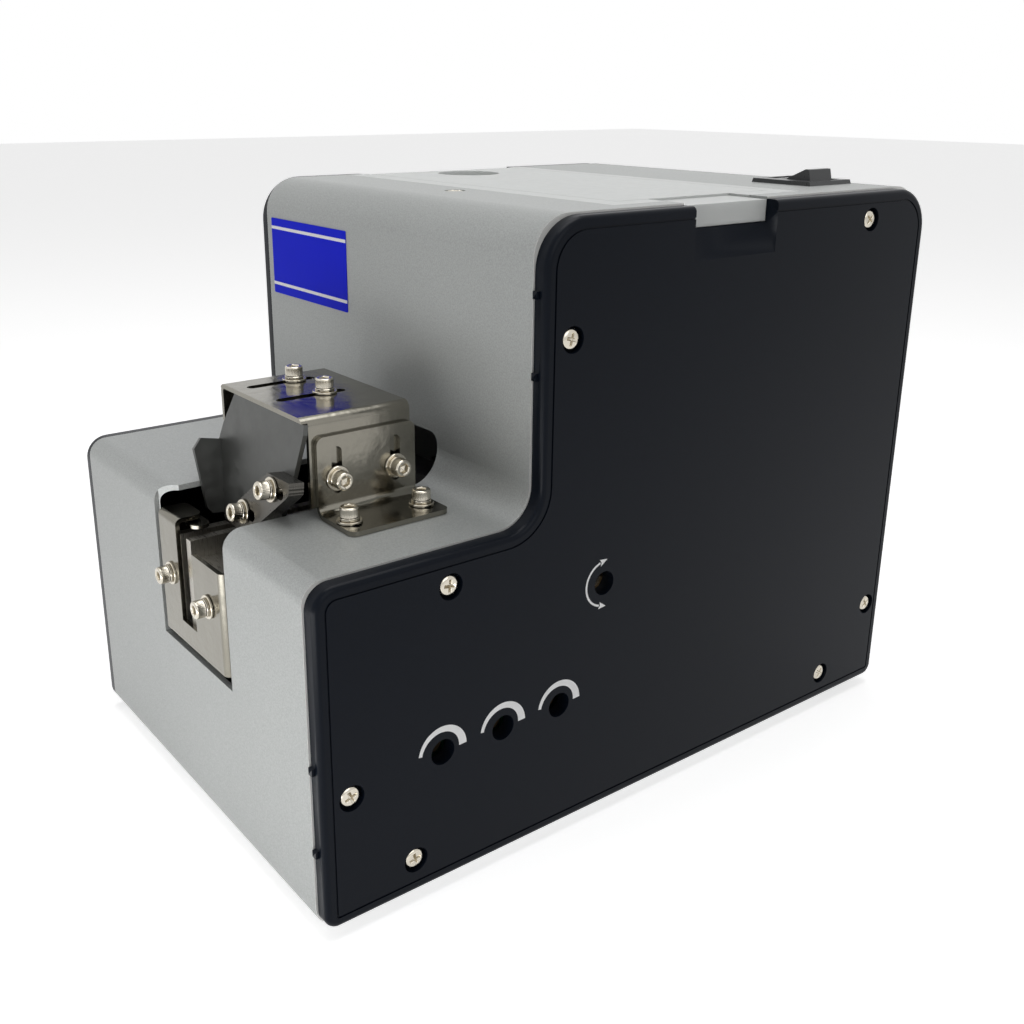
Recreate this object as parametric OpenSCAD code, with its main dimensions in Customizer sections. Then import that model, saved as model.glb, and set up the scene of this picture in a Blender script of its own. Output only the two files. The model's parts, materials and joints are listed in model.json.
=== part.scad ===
// Automatic screw feeder: a desktop machine that tips screws out of a hopper onto a
// vibrating twin rail and presents them, one by one, at the notch in its front.
// Origin: middle of the overall footprint, on the surface that the rubber feet stand on.
// X runs across the machine (+X is the control side), -Y is the front, +Z is up.
// Variables measure heights from the bottom of the housing and depths from its middle.

/* [Housing] */
// Width over both side panels
body_w = 136; // [132:1:150]
// Depth from front face to rear face
body_d = 207; // [200:1:230]
// Height of the hopper part
body_h = 158; // [154:1:170]
// Height of the low front deck
deck_h = 86; // [86:0.5:88]
// Depth of the low front deck
deck_d = 61.5; // [59:0.5:63]
// Thickness of the bent housing sheet
sheet_t = 1.5; // [1:0.1:2]
// Thickness of a side panel over its lipped edge
panel_t = 4; // [3:0.5:6]
// Height of the rubber feet
foot_h = 3; // [2:0.5:8]

/* [Rail] */
// Screw gap between the two rails
rail_gap = 3.3; // [2.6:0.1:3.8]
// Thickness of one rail lip
rail_lip = 2.6; // [2:0.1:3]
// Height of the rail tops
rail_top = 75.7; // [74.5:0.1:76]
// Where the middle of the screw gap lies across the machine
rail_x = -1.05; // [-1.5:0.05:-0.5]

/* [Adjustable guides] */
// Thickness of the plated bracket sheet
plate_t = 1.2; // [1:0.1:1.4]
// Height of the hood over the rail
hood_top = 111; // [110.6:0.1:113]
// Forward lean of the guide plate in degrees
guide_lean = 7; // [6:0.5:8]
// Thickness of the slanted height bar
bar_t = 4; // [3:0.5:4.5]

/* [Hopper] */
// Radius of the feed wheel
wheel_r = 28; // [24:0.5:28.5]
// Number of scoop blades on the feed wheel
wheel_blades = 10; // [6:1:12]
// Thickness of the sliding lid
lid_t = 2.1; // [1.8:0.1:2.4]

/* [Controls] */
// Diameter of the three screwdriver holes in the control panel
trim_hole_d = 6.6; // [6:0.2:8]
// Distance between the screwdriver holes
trim_pitch = 18; // [16:0.5:19]

/* [Fits] */
// Gap between flat faces that slide on each other
slip = 0.1; // [0.05:0.05:0.2]
// Radial clearance of a shaft in its bush
shaft_fit = 0.05; // [0.02:0.01:0.1]
// Radial clearance of a screw in its hole
screw_fit = 0.05; // [0.02:0.01:0.1]
// Width of an adjustment slot
slot_w = 2.9; // [2.7:0.1:3.2]

/* [Hidden] */
$fn = 48;
eps = 0.01;

// Housing: main planes and corner radii
half_w = body_w / 2;
shell_x = half_w - panel_t;
front_y = -body_d / 2;
rear_y = body_d / 2;
riser_y = front_y + deck_d;
bottom_r = 4;
deck_r = 5;
top_r = 10;
riser_fillet_r = 9;
flange_w = 14;
lip_d = 25;
base_t = 1.5;

// Opening for the rail: through the front wall, the deck and the riser
notch_x0 = -15.3;
notch_x1 = 26;
notch_z = 44;
deck_slot_x0 = -10.9;
deck_slot_y0 = front_y + 5.2;
arch_top = 98.8;
arch_r = 3;

// Side panels
panel_in = 0.5;
left_panel_in = 0;
panel_r_extra = 2.5;
groove_in = 2.6;
groove_w = 0.5;
groove_depth = 0.3;
panel_screw_yz = [[-33.1, 129.7], [76.8, 150], [96.3, 27.2], [75.5, 9], [-67.8, 77.5],
                  [-95.3, 33.3], [-78.4, 9.3]];
nib_riser_z = [140.5, 121.7];
nib_front_z = [41.9, 20.5];
scoop_y = [5.5, 36];
scoop_z = [144.3, 151.7];
scoop_floor = 0.7;
trim_y = -52.4;
trim_z = 35.8;
lock_y = -20.3;
lock_z = 65.7;
lock_hole_d = 6.4;

// Panel screw: M3 with a cross recess
m3_head_d = 5.5;
m3_head_h = 1.6;
m3_shank_r = 1.25;

// Clamp screw: M2.5 socket head with a spring washer and a flat washer
cs_shank_r = 1.2;
cs_tap_r = cs_shank_r + screw_fit;
cs_flat_r = 3.1;
cs_flat_h = 0.6;
cs_spring_r = 2.5;
cs_spring_h = 0.8;
cs_head_r = 2.3;
cs_head_h = 2.5;
cs_hex_r = 1.3;
cs_hex_depth = 1.4;
cs_stack_h = cs_flat_h + cs_spring_h + cs_head_h;

// Angle bracket on the deck
ab_x = 31.7;
ab_foot_x = 48;
ab_y = [-81.3, -53.6];
ab_top = 106.2;
ab_bend_r = 2;
ab_screw_x = 41.4;
ab_screw_y = [-78, -57.6];
ab_slot_x = [37.4, 45.6];
ab_foot_z = deck_h + slip;

// Hood: clamped to the bracket wall by two screws in upright slots
hood_x = [-12.4, ab_x - slip];
hood_y = [-84.2, -54.2];
hood_edge_y = -82.6;
hood_left_edge_y = -84;
hood_left_z = 101;
hood_right_z = 88.6;
hood_screw_y = [-76, -59.5];
hood_screw_z = 95.5;
hood_slot_z = [91.6, 103.4];
hood_in_z = hood_top - plate_t;

// Guide plate: hangs under the hood and leans forward
guide_y = -83.9;
guide_z = hood_in_z - slip;
guide_flange_x = [-4, 29.2];
guide_flange_y = -60.5;
guide_top_x = [-4.5, 32];
guide_len = 32.8;
guide_screw_x = [-3, 13];
guide_screw_y = -67.4;
guide_slot_y = [-80.9, -61.6];
guide_bend = [[-12.3, 13.9], [-8.2, guide_len]];
guide_wing_w = [7.6, 4.6];

// Height bar: points are across the machine and down the guide plate
bar_pts = [[1.5, 30.3], [23.3, 13.4], [34, 13.2], [34.5, 15.8], [33, 17.3], [14.6, 31.6],
           [2.5, 31.6]];
bar_screw = [[26.1, 16.8], [12.5, 26.2]];
bar_slot_x = [[24.6, 31.8], [11, 18.2]];

// Rails and what carries them
rail_l_x = rail_x - rail_gap / 2;
rail_r_x = rail_x + rail_gap / 2;
block_top = rail_top - 5;
block_z = 50;
block_y1 = -30;
lip_y1 = 8;
lip_z = 70;
block_l_x = -12;
block_r_x = 20;
fp_y = front_y + 0.2;
rail_y0 = fp_y + plate_t;
carrier_z = 43;

// Front plate: U-shaped around the rail end
fp_x = [-13.6, 22.9];
fp_z = 46;
fp_left_top = 80;
fp_right_top = 73.5;
fp_slot_x = [-2.8, 6.2];
fp_slot_z = 52;
fp_flange_y = -95.5;
fp_side_y = -93;
fp_side_z = 49;
fp_bend_r = 1.8;
fs_left = [-7.5, 63.8];
fs_right = [14.8, 62.5];
fs_slot_x = [11.4, 18.2];
finger_y = -97.3;
finger_r = 2.6;
finger_x = rail_x - 0.8;
finger_z = rail_top + 1.6;
finger_t = 0.9;
finger_post_w = 3;

// Vibrator under the rails
vib_x = [-15, 23];
vib_y = [-99, -32];
vib_z = 8;
vib_slab = 7;
spring_y = [-92, -42];
spring_t = 0.8;
spring_x = [-6, 14];
spring_z = 17;
spring_play = 0.6;
coil_x = 4;
coil_z = 30;
coil_r = 11;
core_r = 5;
magnet_y = [-80, -54.8];
armature_y = -54;

// Hopper, feed wheel and motor
bin_x = [-40, 46];
bin_y = [-10, 54];
bin_z = [46, body_h - 3.5];
bin_wall = 2;
wheel_y = 22;
wheel_z = 80;
wheel_x = [-36, -12];
trough_r = wheel_r + 2;
slope_x = -10;
slope_z = [56, 86];
shaft_r = 3;
motor_x = [-62, -44];
motor_box_y = [10, 34];
motor_box_z = [66, 110];
motor_can_r = 10;
motor_can_y = 60;
spacer_yz = [[14, 70], [30, 70], [14, 106]];

// Lid and its frame
frame_z = bin_z[1];
lid_z = body_h - lid_t;
lid_x = [-62.5, 51];
lid_y = [-5.2, 52.2];
lid_edge = 1.4;
lid_edge_t = 0.9;
lid_tongue_y = [6, 35.7];
lid_tongue_drop = 0.6;
lid_lip_x = [62.8, 64.2];
lid_lip_z = scoop_z[1] + 0.2;
lid_hole = [-48.5, 23.5];
lid_hole_r = 10;
frame_cut_y = [-12.5, 57.5];
frame_cut_x = 58;
frame_flange_y = [-24, 61.5];
mouth_x = [bin_x[0] + bin_wall, bin_x[1] - bin_wall];
mouth_y = [-3.2, 50.2];
top_screw_xy = [3.1, -19.4];

// Rocker switch
sw_x = [28.6, 50];
sw_y = [72, 91];
sw_bezel_h = 1.2;
sw_body_z = 138;
rocker_pivot = [39, body_h - 0.2];
rocker_y = [76.8, 86.8];
rocker_pin_r = 1;

// Lock gate: a crank on the adjuster lifts the gate over the rail
gate_x = [-9, 10.5];
gate_y = [-12.3, -10.3];
gate_z = [rail_top + 3.3, 98];
gate_arm_x = 8;
gate_arm_y = -19.5;
gate_arm_z = 60;
crank_x = [12, 15];
crank_r = 7;
crank_throw = 5;
crank_pin_r = 1.5;
crank_play = 0.45;
adjuster_end = shell_x - 0.5;
bearing_x = [15.3, 19.3];

// Sensor block on the hopper front
sensor_x = [12, 24];
sensor_y = -39.5;
sensor_z = [76, 84];
sensor_screw_xy = [18.8, -35.5];

// Control board
board_x = 50;
board_t = 1.6;
board_y = [-88, -18];
board_z = [12, 54];
post_yz = [[-84, 18.5], [-22, 18.5], [-84, 50], [-22, 50]];
trimmer_top = 58;
trimmer_w = 9.5;
rotor_r = 2.6;
rotor_end = shell_x - 0.6;

// Power socket
jack_x = 30;
jack_z = 25;
jack_r = 3.9;
jack_flange_r = 6.5;
jack_flange_t = 1.2;

// The foremost clamp screw and the socket's flange are the ends that the origin lies between
centre_y = -(fp_y - slip - cs_stack_h + rear_y + jack_flange_t) / 2;

// Colours
silver = [0.62, 0.63, 0.62];
black_paint = [0.05, 0.06, 0.09];
nickel = [0.75, 0.72, 0.64];
steel = [0.5, 0.5, 0.5];
frosted = [0.85, 0.87, 0.86];
black_plastic = [0.12, 0.13, 0.14];
grey_plastic = [0.55, 0.56, 0.55];
rubber = [0.08, 0.08, 0.08];
copper = [0.72, 0.42, 0.2];
board_green = [0.05, 0.3, 0.15];

// ---- helpers ----

// Lifts a housing-height part onto the feet and centres the machine on the origin
module on_feet() {
    translate([0, centre_y, foot_h]) children();
}

// A block from two opposite corners
module block(x, y, z) {
    translate([x[0], y[0], z[0]]) cube([x[1] - x[0], y[1] - y[0], z[1] - z[0]]);
}

// Extrudes a (Y, Z) outline along X
module along_x(x0, x1) {
    translate([x0, 0, 0]) rotate([90, 0, 90]) linear_extrude(x1 - x0) children();
}

// Extrudes an (X, Z) outline along Y
module along_y(y0, y1) {
    translate([0, y1, 0]) rotate([90, 0, 0]) linear_extrude(y1 - y0) children();
}

// A round bar along X, Y or Z
module rod_x(r, x0, x1, y, z) {
    translate([x0, y, z]) rotate([0, 90, 0]) cylinder(r = r, h = x1 - x0);
}
module rod_y(r, y0, y1, x, z) {
    translate([x, y1, z]) rotate([90, 0, 0]) cylinder(r = r, h = y1 - y0);
}
module rod_z(r, z0, z1, x, y) {
    translate([x, y, z0]) cylinder(r = r, h = z1 - z0);
}

// A flat oblong with round ends, from p to q in its own plane, w wide
module slot2d(p, q, w) {
    angle = atan2(q[1] - p[1], q[0] - p[0]);
    translate(p) rotate(angle) translate([0, -w / 2]) square([norm(q - p), w]);
    translate(p) circle(d = w);
    translate(q) circle(d = w);
}

// The waste outside a convex corner of radius r; sx and sy point outwards
module corner_waste(p, r, sx, sy) {
    translate(p) scale([sx, sy]) translate([-r, -r]) difference() {
        square(r + 1);
        circle(r = r);
    }
}

// A rectangle with its own radius at each corner: [left low, right low, right high, left high]
module round_rect(x, y, r) {
    difference() {
        translate([x[0], y[0]]) square([x[1] - x[0], y[1] - y[0]]);
        if (r[0] > 0) corner_waste([x[0], y[0]], r[0], -1, -1);
        if (r[1] > 0) corner_waste([x[1], y[0]], r[1], 1, -1);
        if (r[2] > 0) corner_waste([x[1], y[1]], r[2], 1, 1);
        if (r[3] > 0) corner_waste([x[0], y[1]], r[3], -1, 1);
    }
}

// The side outline of the machine, set in by inset, with the upper corners rounder by extra
module side_outline(inset, extra = 0) {
    y0 = front_y + inset;
    y1 = rear_y - inset;
    zt = body_h - inset;
    zd = deck_h - inset;
    yr = riser_y + inset;
    function r(base) = max(base - inset, 0.4);
    fillet = riser_fillet_r + inset;
    difference() {
        union() {
            translate([y0, inset]) square([y1 - y0, zd - inset]);
            translate([yr, inset]) square([y1 - yr, zt - inset]);
            translate([yr, zd]) difference() {
                translate([-fillet, -1]) square([fillet + 1, fillet + 1]);
                translate([-fillet, fillet]) circle(r = fillet);
            }
        }
        corner_waste([y0, inset], r(bottom_r), -1, -1);
        corner_waste([y1, inset], r(bottom_r), 1, -1);
        corner_waste([y1, zt], r(top_r + extra), 1, 1);
        corner_waste([yr, zt], r(top_r + extra), -1, 1);
        corner_waste([y0, zd], r(deck_r + extra / 2), -1, 1);
    }
}

// A clamp screw on the plane z = 0, head up, reaching depth below it
module clamp_screw(depth) {
    difference() {
        union() {
            rod_z(cs_shank_r, -depth, cs_flat_h, 0, 0);
            cylinder(r = cs_flat_r, h = cs_flat_h);
            translate([0, 0, cs_flat_h]) cylinder(r = cs_spring_r, h = cs_spring_h);
            translate([0, 0, cs_flat_h + cs_spring_h]) cylinder(r = cs_head_r, h = cs_head_h);
        }
        translate([0, 0, cs_stack_h - cs_hex_depth]) cylinder(r = cs_hex_r, h = 2, $fn = 6);
    }
}

// A cross-recess screw whose head lies below z = 0
module cross_screw(depth) {
    difference() {
        union() {
            rod_z(m3_shank_r, -depth, -m3_head_h + eps, 0, 0);
            translate([0, 0, -m3_head_h]) cylinder(r = m3_head_d / 2, h = m3_head_h);
        }
        for (turn = [0, 90]) rotate(turn) translate([-1.5, -0.32, -1.1]) cube([3, 0.64, 2]);
    }
}

// Places things in the leaning plane of the guide plate: x across, -y outwards, -z down it
module on_guide() {
    translate([0, guide_y, guide_z]) rotate([-guide_lean, 0, 0]) children();
}

// ---- housing ----

module rail_opening() {
    // Front wall and deck, seen from above
    translate([0, 0, notch_z]) linear_extrude(deck_h) polygon([
        [notch_x0, front_y - 1], [notch_x1, front_y - 1], [notch_x1, -52], [deck_slot_x0, -52],
        [deck_slot_x0, deck_slot_y0], [notch_x0, front_y + 1.3]]);
    // Riser, seen from the front
    along_y(-53, riser_y + 8)
        round_rect([deck_slot_x0, notch_x1], [deck_h - 20, arch_top], [0, 0, arch_r, arch_r]);
}

module housing_shell() color(silver) on_feet() difference() {
    union() {
        along_x(-shell_x, shell_x) difference() {
            side_outline(0);
            side_outline(sheet_t);
        }
        for (side = [-1, 1]) translate([side * (shell_x - sheet_t / 2), 0, 0])
            along_x(-sheet_t / 2, sheet_t / 2) difference() {
                side_outline(0);
                side_outline(flange_w);
            }
    }
    rail_opening();
    // Hopper opening, open towards the left panel so that the lid can slide out
    block([-half_w, frame_cut_x], frame_cut_y, [frame_z - slip, body_h + 1]);
    // Finger notch at the lid's tongue
    block([frame_cut_x - 1, half_w], [scoop_y[0] - 0.3, scoop_y[1] + 0.3],
          [scoop_z[1] - 0.3, body_h + 1]);
    // Switch, top screw and power socket
    block([sw_x[0] + 1.4, sw_x[1] - 1.4], [sw_y[0] + 1.4, sw_y[1] - 1.4], [body_h - 5, body_h + 1]);
    rod_z(m3_head_d / 2 + slip, body_h - m3_head_h, body_h + 1, top_screw_xy[0], top_screw_xy[1]);
    rod_y(jack_r + 0.1, rear_y - 5, rear_y + 1, jack_x, jack_z);
    // Tapped holes for the angle bracket
    for (y = ab_screw_y) rod_z(cs_tap_r, deck_h - 3, deck_h + 1, ab_screw_x, y);
    // Holes for the panel screws
    for (p = panel_screw_yz) rod_x(m3_shank_r + screw_fit, -half_w, half_w, p[0], p[1]);
    // Access from below, closed by the base plate
    block([-shell_x + sheet_t, shell_x - sheet_t], [front_y + lip_d, rear_y - lip_d], [-1, sheet_t + eps]);
    feet_at() rod_z(m3_shank_r + screw_fit, -1, 4, 0, 0);
}

module feet_at() {
    for (x = [-50, 50], y = [-88, 88]) translate([x, y, 0]) children();
}

module isolators_at() {
    for (x = [vib_x[0] + 6, vib_x[1] - 6], y = [vib_y[0] + 7, vib_y[1] - 7])
        translate([x, y, 0]) children();
}

module base_plate() color(steel) on_feet() difference() {
    block([-shell_x + 2, shell_x - 2], [front_y + 5, rear_y - 5], [sheet_t, sheet_t + base_t]);
    feet_at() rod_z(m3_shank_r + screw_fit, 0, 4, 0, 0);
}

module rubber_feet() color(rubber) on_feet() feet_at() difference() {
    translate([0, 0, -foot_h]) cylinder(r1 = 7.4, r2 = 8, h = foot_h);
    rod_z(m3_head_d / 2 + 0.3, -foot_h - 1, -1, 0, 0);
    rod_z(m3_shank_r + screw_fit, -foot_h - 1, 1, 0, 0);
}

module foot_screws() color(nickel) on_feet() feet_at()
    translate([0, 0, -foot_h + 0.4]) mirror([0, 0, 1]) cross_screw_under();

// A screw that points up from z = 0, head below
module cross_screw_under() {
    rod_z(m3_head_d / 2, 0 - (foot_h - 1.4), 0, 0, 0);
    rod_z(m3_shank_r, -foot_h - 4, -(foot_h - 1.4) + eps, 0, 0);
}

// One side panel from x = 0 (against the shell) to x = panel_t (outer face)
module panel_blank(inset) {
    difference() {
        along_x(0, panel_t) side_outline(inset, panel_r_extra);
        along_x(panel_t - groove_depth, panel_t + 1) difference() {
            side_outline(inset + groove_in, panel_r_extra);
            side_outline(inset + groove_in + groove_w, panel_r_extra);
        }
        for (p = panel_screw_yz) {
            rod_x(m3_shank_r + screw_fit, -1, panel_t + 1, p[0], p[1]);
            rod_x(m3_head_d / 2 + 0.5, panel_t - m3_head_h - 0.4, panel_t + 1, p[0], p[1]);
        }
    }
}

// Small locating nibs on the panel's riser and front edges
module panel_nibs() {
    for (z = nib_riser_z) block([0.3, 1.8], [riser_y - 0.4, riser_y + 2], [z - 0.9, z + 0.9]);
    for (z = nib_front_z) block([0.3, 1.8], [front_y - 0.4, front_y + 2], [z - 0.9, z + 0.9]);
}

module right_side_panel() color(black_paint) on_feet() difference() {
    translate([shell_x, 0, 0]) {
        panel_blank(panel_in);
        panel_nibs();
    }
    // Notch at the lid's tongue, with a finger scoop that runs down the outer face
    block([shell_x - 1, half_w + 1], scoop_y, [scoop_z[1], body_h + 1]);
    along_y(scoop_y[0], scoop_y[1]) polygon([
        [shell_x + scoop_floor, scoop_z[1] + eps], [half_w + 1, scoop_z[1] + eps], [half_w + 1, scoop_z[0]],
        [half_w, scoop_z[0]]]);
    rod_x(lock_hole_d / 2, shell_x - 1, half_w + 1, lock_y, lock_z);
    for (k = [-1, 0, 1]) rod_x(trim_hole_d / 2, shell_x - 1, half_w + 1, trim_y + k * trim_pitch, trim_z);
}

module left_side_panel() color(black_paint) on_feet() difference() {
    mirror([1, 0, 0]) translate([shell_x, 0, 0]) panel_blank(left_panel_in);
    // The lid slides out over this edge
    block([-half_w - 1, -shell_x + 1], [lid_y[0] - lid_edge - 0.6, lid_y[1] + lid_edge + 0.6],
          [lid_z - 0.3, body_h + 1]);
}

module panel_screws() color(nickel) on_feet() for (side = [0, 1], p = panel_screw_yz)
    mirror([side, 0, 0]) translate([half_w - 0.4, p[0], p[1]]) rotate([0, 90, 0]) cross_screw(8);

// ---- hopper ----

module hopper_bin() color(grey_plastic) on_feet() difference() {
    block(bin_x, bin_y, bin_z);
    // Trough around the wheel and the open space above it
    rod_x(trough_r, mouth_x[0], slope_x, wheel_y, wheel_z);
    block(mouth_x, [bin_y[0] + bin_wall, bin_y[1] - bin_wall], [slope_z[1], bin_z[1] + 1]);
    // Floor that slopes down to the wheel
    along_y(bin_y[0] + bin_wall, bin_y[1] - bin_wall) polygon([
        [slope_x - eps, slope_z[0]], [mouth_x[1], slope_z[1]], [mouth_x[1], slope_z[1] + eps],
        [slope_x - eps, slope_z[1] + eps]]);
    // Hollow under the sloping floor
    along_y(bin_y[0] + bin_wall, bin_y[1] - bin_wall) polygon([
        [slope_x + 4, bin_z[0] - 1], [mouth_x[1], bin_z[0] - 1], [mouth_x[1], slope_z[1] - 3],
        [slope_x + 4, slope_z[0] - 0.8]]);
    // Way out for the rail
    block([rail_x - 8, rail_x + 8], [bin_y[0] - 1, bin_y[0] + bin_wall + 1], [lip_z - 2, rail_top + 5]);
    // Wheel shaft bush
    rod_x(6 + screw_fit, bin_x[0] - 1, bin_x[0] + bin_wall + 1, wheel_y, wheel_z);
    // Path of the lid's lip
    block([mouth_x[1] - 1, bin_x[1] + 1], [scoop_y[0], scoop_y[1] + 0.2], [scoop_z[1] - 0.3, bin_z[1] + 1]);
}

module hopper_frame() color(grey_plastic) on_feet() difference() {
    union() {
        block([-shell_x + 2, frame_cut_x + 3], frame_flange_y, [frame_z, body_h - sheet_t]);
        block([-shell_x, frame_cut_x - slip], [frame_cut_y[0] + slip, frame_cut_y[1] - slip],
              [frame_z, body_h]);
    }
    // Bed of the lid and the grooves that hold its edges
    block([-half_w, lid_x[1] + 0.2], [lid_y[0] - 0.2, lid_y[1] + 0.2], [lid_z - slip, body_h + 1]);
    block([-half_w, lid_x[1] + 0.2], [lid_y[0] - lid_edge - 0.3, lid_y[1] + lid_edge + 0.3],
          [lid_z - slip, lid_z + lid_edge_t + slip]);
    block(mouth_x, mouth_y, [frame_z - 1, body_h]);
    // Path of the lid's tongue and lip
    block([mouth_x[1] - 1, half_w], [scoop_y[0], scoop_y[1] + 0.2], [frame_z - 1, body_h + 1]);
    rod_z(m3_shank_r + screw_fit, frame_z - 1, body_h, top_screw_xy[0], top_screw_xy[1]);
    rod_z(m3_head_d / 2 + slip, body_h - m3_head_h - slip, body_h + 1, top_screw_xy[0], top_screw_xy[1]);
}

module hopper_lid() color(frosted) on_feet() difference() {
    union() {
        block(lid_x, lid_y, [lid_z, body_h]);
        block(lid_x, [lid_y[0] - lid_edge, lid_y[1] + lid_edge], [lid_z, lid_z + lid_edge_t]);
        block([lid_x[1] - 1, lid_lip_x[1]], lid_tongue_y, [lid_z, body_h - lid_tongue_drop]);
        block(lid_lip_x, lid_tongue_y, [lid_lip_z, body_h - lid_tongue_drop]);
    }
    rod_z(lid_hole_r, lid_z - 1, body_h + 1, lid_hole[0], lid_hole[1]);
}

module top_screw() color(nickel) on_feet()
    translate([top_screw_xy[0], top_screw_xy[1], body_h]) cross_screw(sheet_t + 5);

module feed_wheel() color(black_plastic) on_feet() difference() {
    union() {
        rod_x(wheel_r, wheel_x[0], wheel_x[0] + 2, wheel_y, wheel_z);
        rod_x(8, wheel_x[0], wheel_x[1], wheel_y, wheel_z);
        for (k = [0 : wheel_blades - 1]) translate([wheel_x[0], wheel_y, wheel_z])
            rotate([k * 360 / wheel_blades, 0, 0]) {
                translate([0, 6, -0.8]) cube([wheel_x[1] - wheel_x[0], wheel_r - 6.6, 1.6]);
                translate([0, wheel_r - 4, 0]) cube([wheel_x[1] - wheel_x[0], 1.6, 4.6]);
            }
    }
    rod_x(shaft_r, wheel_x[0] - 1, wheel_x[1] + 1, wheel_y, wheel_z);
}

module wheel_shaft() color(steel) on_feet() rod_x(shaft_r, motor_x[1] - 10, wheel_x[1], wheel_y, wheel_z);

module shaft_bush() color(copper) on_feet() difference() {
    union() {
        rod_x(6, bin_x[0] - 0.5, mouth_x[0], wheel_y, wheel_z);
        rod_x(8, bin_x[0] - 1.5, bin_x[0], wheel_y, wheel_z);
    }
    rod_x(shaft_r + shaft_fit, bin_x[0] - 3, mouth_x[0] + 1, wheel_y, wheel_z);
}

module gear_motor() color(steel) on_feet() difference() {
    union() {
        block(motor_x, motor_box_y, motor_box_z);
        translate([(motor_x[0] + motor_x[1]) / 2, 0, motor_box_z[1] - 12]) {
            rod_y(motor_can_r, motor_box_y[1] - eps, motor_can_y, 0, 0);
            rod_y(3, motor_can_y - eps, motor_can_y + 2, 0, 0);
        }
    }
    rod_x(shaft_r + shaft_fit, motor_x[1] - 11, motor_x[1] + 1, wheel_y, wheel_z);
}

module motor_spacers() color(nickel) on_feet() for (p = spacer_yz)
    rod_x(3, motor_x[1], bin_x[0], p[0], p[1]);

// ---- rocker switch ----

module switch_body() color(black_plastic) on_feet() difference() {
    union() {
        along_y(sw_y[0], sw_y[1]) polygon([
            [sw_x[0], body_h], [sw_x[1], body_h], [sw_x[1] - 0.5, body_h + sw_bezel_h],
            [sw_x[0] + 0.5, body_h + sw_bezel_h]]);
        block([sw_x[0] + 1.5, sw_x[1] - 1.5], [sw_y[0] + 1.5, sw_y[1] - 1.5], [sw_body_z, body_h + eps]);
        for (x = [34, 44]) block([x - 0.4, x + 0.4], [79, 84], [sw_body_z - 7, sw_body_z + eps]);
    }
    block([sw_x[0] + 1.9, sw_x[1] - 1.3], [rocker_y[0] - 0.3, rocker_y[1] + 0.3], [body_h - 9, body_h + 3]);
    rod_y(rocker_pin_r + shaft_fit, rocker_y[0] - 0.8, rocker_y[1] + 0.8, rocker_pivot[0], rocker_pivot[1]);
}

module switch_rocker() color(black_plastic) on_feet() {
    along_y(rocker_y[0], rocker_y[1]) polygon([
        [30.9, body_h - 1.6], [30.9, body_h + 0.9], [37.6, body_h + 1.3], [44.2, body_h + 4.3],
        [45.4, body_h + 4.2], [46.8, body_h - 1.6], [43.6, body_h - 5.4], [34, body_h - 5.4]]);
    rod_y(rocker_pin_r, rocker_y[0] - 0.6, rocker_y[1] + 0.6, rocker_pivot[0], rocker_pivot[1]);
}

// ---- angle bracket, hood, guide plate and height bar ----

module angle_bracket() color(nickel) on_feet() difference() {
    // Bent outline, then the corners and slots are cut
    along_y(ab_y[0], ab_y[1]) difference() {
        round_rect([ab_x, ab_foot_x], [ab_foot_z, ab_top], [ab_bend_r + plate_t, 0, 0, 0]);
        round_rect([ab_x + plate_t, ab_foot_x + 1], [ab_foot_z + plate_t, ab_top + 1],
                   [ab_bend_r, 0, 0, 0]);
    }
    along_x(ab_x - 1, ab_x + plate_t + 1) {
        corner_waste([ab_y[0], ab_top], 2, -1, 1);
        corner_waste([ab_y[1], ab_top], 2, 1, 1);
        for (y = hood_screw_y)
            slot2d([y, hood_slot_z[0] + slot_w / 2], [y, hood_slot_z[1] - slot_w / 2], slot_w);
    }
    translate([0, 0, ab_foot_z - 1]) linear_extrude(plate_t + 2) {
        corner_waste([ab_foot_x, ab_y[0]], 2, 1, -1);
        corner_waste([ab_foot_x, ab_y[1]], 2, 1, 1);
        for (y = ab_screw_y)
            slot2d([ab_slot_x[0] + slot_w / 2, y], [ab_slot_x[1] - slot_w / 2, y], slot_w);
    }
}

module bracket_screws() color(nickel) on_feet() for (y = ab_screw_y)
    translate([ab_screw_x, y, ab_foot_z + plate_t + slip]) clamp_screw(6);

module hood() color(nickel) on_feet() difference() {
    union() {
        intersection() {
            along_y(hood_y[0], hood_y[1]) difference() {
                round_rect(hood_x, [hood_right_z, hood_top], [0, 0, 2.2, 2.2]);
                round_rect([hood_x[0] + plate_t, hood_x[1] - plate_t], [hood_right_z - 1, hood_in_z],
                           [0, 0, 1, 1]);
            }
            union() {
                block([hood_x[0] - 1, hood_x[1] + 1], hood_y, [hood_in_z, hood_top + 1]);
                block([0, hood_x[1] + 1], [hood_edge_y, hood_y[1]], [hood_right_z, hood_top]);
                block([hood_x[0] - 1, 0], [hood_left_edge_y, hood_y[1]], [hood_left_z, hood_top]);
            }
        }
    }
    for (x = guide_screw_x) translate([0, 0, hood_in_z - 1]) linear_extrude(plate_t + 2)
        slot2d([x, guide_slot_y[0] + slot_w / 2], [x, guide_slot_y[1] - slot_w / 2], slot_w);
    for (y = hood_screw_y) rod_x(cs_tap_r, hood_x[1] - 3, hood_x[1] + 1, y, hood_screw_z);
}

module hood_screws() color(nickel) on_feet() for (y = hood_screw_y)
    translate([ab_x + plate_t + slip, y, hood_screw_z]) rotate([0, 90, 0]) clamp_screw(5);

module guide_outline() {
    polygon([[guide_top_x[0], 0], [guide_top_x[1], 0], [guide_top_x[1], -2.5], [28.4, -14.6],
             [20.8, -guide_len], [guide_bend[1][0], -guide_bend[1][1]],
             [guide_bend[0][0], -guide_bend[0][1]], [-10, -8.7]]);
}

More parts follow.
